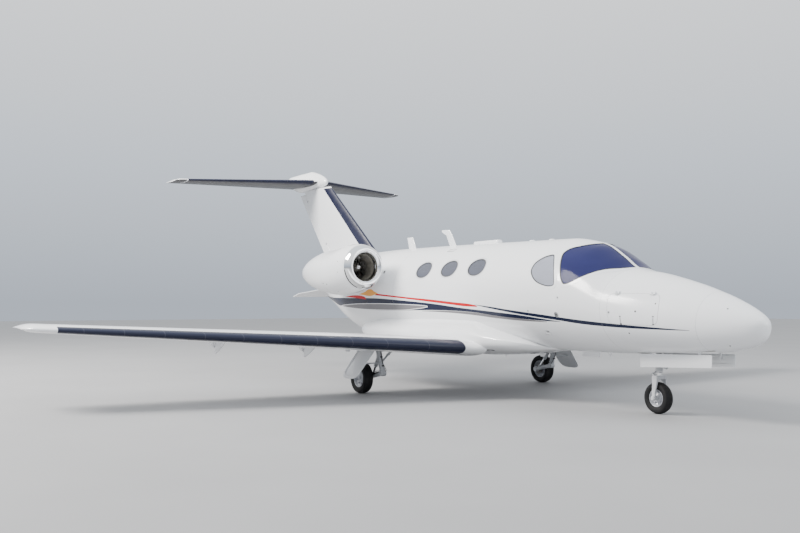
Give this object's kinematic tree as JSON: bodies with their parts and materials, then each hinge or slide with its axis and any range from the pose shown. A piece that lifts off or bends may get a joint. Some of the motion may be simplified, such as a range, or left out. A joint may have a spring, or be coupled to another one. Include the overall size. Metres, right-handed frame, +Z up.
{
  "type": "twin-engine light business jet",
  "caption": "Light business jet parked on its landing gear, with opening doors, turning fans, rolling wheels, a steered nose wheel and hinged control surfaces.",
  "frame": {"origin": "on the ground, below the middle of the bounding box", "axes": "+X forward to the nose, +Y to port, +Z up"},
  "size_m": [12.37, 13.16, 4.09],
  "materials": {
    "white_paint": "gloss",
    "window_glass": "gloss",
    "engine_metal": "satin",
    "fan_metal": "satin",
    "gear_paint": "satin",
    "wheel_metal": "satin",
    "tyre_rubber": "matte",
    "floor_panel": "matte",
    "panel_grey": "matte",
    "leather": "satin"
  },
  "bodies": {
    "airframe": {"nose_radome": "white_paint", "nose_section": "white_paint", "cabin_shell": "white_paint", "roof_fairing": "white_paint", "roof_aerial": "white_paint", "tail_section": "white_paint", "windshield_left": "window_glass", "cockpit_window_left": "window_glass", "cabin_window_left_1": "window_glass", "cabin_window_left_2": "window_glass", "cabin_window_left_3": "window_glass", "windshield_right": "window_glass", "cockpit_window_right": "window_glass", "cabin_window_right_1": "window_glass", "cabin_window_right_2": "window_glass", "cabin_window_right_3": "window_glass", "wing_fairing": "white_paint", "wing_left": "white_paint", "wing_right": "white_paint", "fin": "white_paint", "stabiliser": "white_paint", "tail_bullet": "white_paint", "nacelle_left": "white_paint", "nacelle_right": "white_paint", "engine_left": "engine_metal", "engine_right": "engine_metal", "pylon_left": "white_paint", "pylon_right": "white_paint", "nose_leg": "gear_paint", "nose_gear_door_left": "white_paint", "nose_gear_door_right": "white_paint", "main_leg_left": "gear_paint", "main_leg_right": "gear_paint", "main_gear_door_left": "white_paint", "main_gear_door_right": "white_paint", "cabin_floor": "floor_panel", "instrument_panel": "panel_grey", "crew_seats": "leather", "cabin_seats": "leather"},
    "nose_baggage_door_left": {"nose_baggage_door_left": "white_paint"},
    "nose_baggage_door_right": {"nose_baggage_door_right": "white_paint"},
    "entry_door": {"entry_door": "white_paint", "door_window": "window_glass"},
    "tail_baggage_door": {"tail_baggage_door": "white_paint"},
    "aileron_left": {"aileron_left": "white_paint"},
    "aileron_right": {"aileron_right": "white_paint"},
    "flap_left": {"flap_left": "white_paint"},
    "flap_right": {"flap_right": "white_paint"},
    "rudder": {"rudder": "white_paint"},
    "elevator_left": {"elevator_left": "white_paint"},
    "elevator_right": {"elevator_right": "white_paint"},
    "fan_left": {"fan_left": "fan_metal"},
    "fan_right": {"fan_right": "fan_metal"},
    "nose_fork": {"nose_fork": "gear_paint"},
    "nose_wheel": {"nose_wheel": "wheel_metal", "nose_tyre": "tyre_rubber"},
    "main_wheel_left": {"main_wheel_left": "wheel_metal", "main_tyre_left": "tyre_rubber"},
    "main_wheel_right": {"main_wheel_right": "wheel_metal", "main_tyre_right": "tyre_rubber"}
  },
  "joints": [
    {"name": "nose_steering", "type": "hinge", "parent": "airframe", "child": "nose_fork", "pos_m": [4.64, 0, 0.3], "axis": [0, 0, 1], "range_deg": [-20, 20]},
    {"name": "nose_wheel_spin", "type": "hinge", "parent": "nose_fork", "child": "nose_wheel", "pos_m": [4.622, 0, 0.19333], "axis": [0, 1, 0], "continuous": true},
    {"name": "main_wheel_left_spin", "type": "hinge", "parent": "airframe", "child": "main_wheel_left", "pos_m": [0.434, 1.775, 0.23299], "axis": [0, 1, 0], "continuous": true},
    {"name": "main_wheel_right_spin", "type": "hinge", "parent": "airframe", "child": "main_wheel_right", "pos_m": [0.434, -1.775, 0.23299], "axis": [0, 1, 0], "continuous": true},
    {"name": "fan_left_spin", "type": "hinge", "parent": "airframe", "child": "fan_left", "pos_m": [-0.832, 1.2, 1.94], "axis": [1, 0, 0], "continuous": true},
    {"name": "fan_right_spin", "type": "hinge", "parent": "airframe", "child": "fan_right", "pos_m": [-0.832, -1.2, 1.94], "axis": [1, 0, 0], "continuous": true},
    {"name": "rudder_hinge", "type": "hinge", "parent": "airframe", "child": "rudder", "pos_m": [-3.85, 0, 2.33], "axis": [-0.669, 0, 0.7433], "range_deg": [-30, 30]},
    {"name": "elevator_right_hinge", "type": "hinge", "parent": "airframe", "child": "elevator_right", "pos_m": [-5.47556, -0.165, 3.838], "axis": [0.1922, 0.9814, 0], "range_deg": [-15, 20]},
    {"name": "elevator_left_hinge", "type": "hinge", "parent": "airframe", "child": "elevator_left", "pos_m": [-5.47556, 0.165, 3.838], "axis": [-0.1922, 0.9814, 0], "range_deg": [-15, 20]},
    {"name": "aileron_right_hinge", "type": "hinge", "parent": "airframe", "child": "aileron_right", "pos_m": [0.12614, -4.19, 0.90271], "axis": [0.1257, 0.9902, -0.0612], "range_deg": [-20, 20]},
    {"name": "aileron_left_hinge", "type": "hinge", "parent": "airframe", "child": "aileron_left", "pos_m": [0.12614, 4.19, 0.90271], "axis": [-0.1257, 0.9902, 0.0612], "range_deg": [-20, 20]},
    {"name": "flap_right_hinge", "type": "hinge", "parent": "airframe", "child": "flap_right", "pos_m": [0.32947, -2.7, 0.66189], "axis": [-0.1285, -0.9898, 0.0609], "range_deg": [0, 30]},
    {"name": "flap_left_hinge", "type": "hinge", "parent": "airframe", "child": "flap_left", "pos_m": [0.32947, 2.7, 0.66189], "axis": [0.1285, -0.9898, -0.0609], "range_deg": [0, 30]},
    {"name": "entry_door_hinge", "type": "hinge", "parent": "airframe", "child": "entry_door", "pos_m": [2.89988, 0.77099, 1.34], "axis": [-0.0071, 0.0347, -0.9994], "range_deg": [0, 120]},
    {"name": "nose_baggage_door_left_hinge", "type": "hinge", "parent": "airframe", "child": "nose_baggage_door_left", "pos_m": [4.98829, 0.48916, 1.45653], "axis": [0.9578, -0.2861, -0.0282], "range_deg": [0, 75]},
    {"name": "nose_baggage_door_right_hinge", "type": "hinge", "parent": "airframe", "child": "nose_baggage_door_right", "pos_m": [4.98829, -0.48916, 1.45653], "axis": [-0.9578, -0.2861, 0.0282], "range_deg": [0, 75]},
    {"name": "tail_baggage_door_hinge", "type": "hinge", "parent": "airframe", "child": "tail_baggage_door", "pos_m": [-1.15306, 0.6554, 1.08919], "axis": [0.0332, -0.4159, -0.9088], "range_deg": [0, 95]}
  ],
  "couplings": [
    {"joint": "elevator_left_hinge", "follows": "elevator_right_hinge", "ratio": 1},
    {"joint": "aileron_left_hinge", "follows": "aileron_right_hinge", "ratio": -1},
    {"joint": "flap_left_hinge", "follows": "flap_right_hinge", "ratio": 1}
  ]
}
